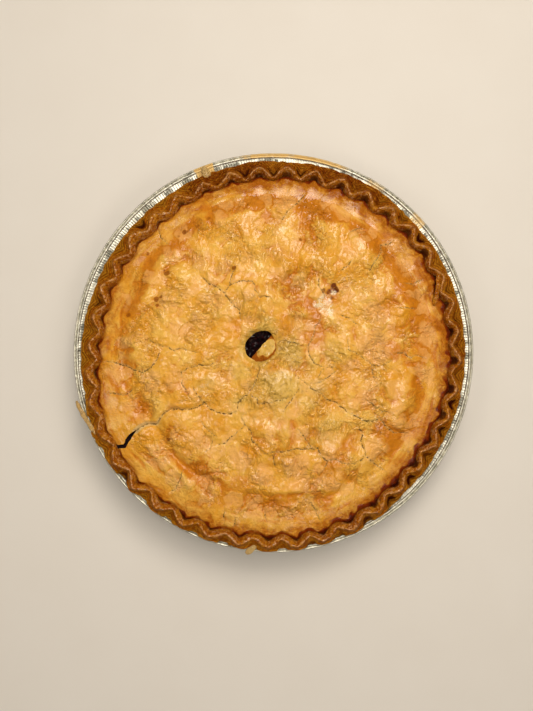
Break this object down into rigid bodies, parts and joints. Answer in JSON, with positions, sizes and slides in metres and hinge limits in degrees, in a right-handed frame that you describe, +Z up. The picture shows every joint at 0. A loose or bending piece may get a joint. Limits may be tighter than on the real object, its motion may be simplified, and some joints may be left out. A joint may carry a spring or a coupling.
{
  "type": "blueberry pie",
  "caption": "Whole double-crust blueberry pie with a wavy crimped rim, a flaky domed lid with a vent and a split, in its foil tin.",
  "frame": {"origin": "centre of the tin's flat base, on the surface that the pie stands on", "axes": "+Z up through the lid, +Y towards the top edge of the picture, +X towards its right edge"},
  "size_m": [0.244, 0.2444, 0.0434],
  "materials": {
    "foil": "bright thin foil, finely pleated, with a rolled edge",
    "pastry": "baked egg-washed pastry, golden with darker glossy crimps",
    "blueberry": "wet dark blueberry filling"
  },
  "bodies": {
    "root": {"foil_tin": "foil", "foil_flange": "foil", "bottom_crust": "pastry", "top_crust": "pastry", "filling": "blueberry"}
  },
  "joints": []
}
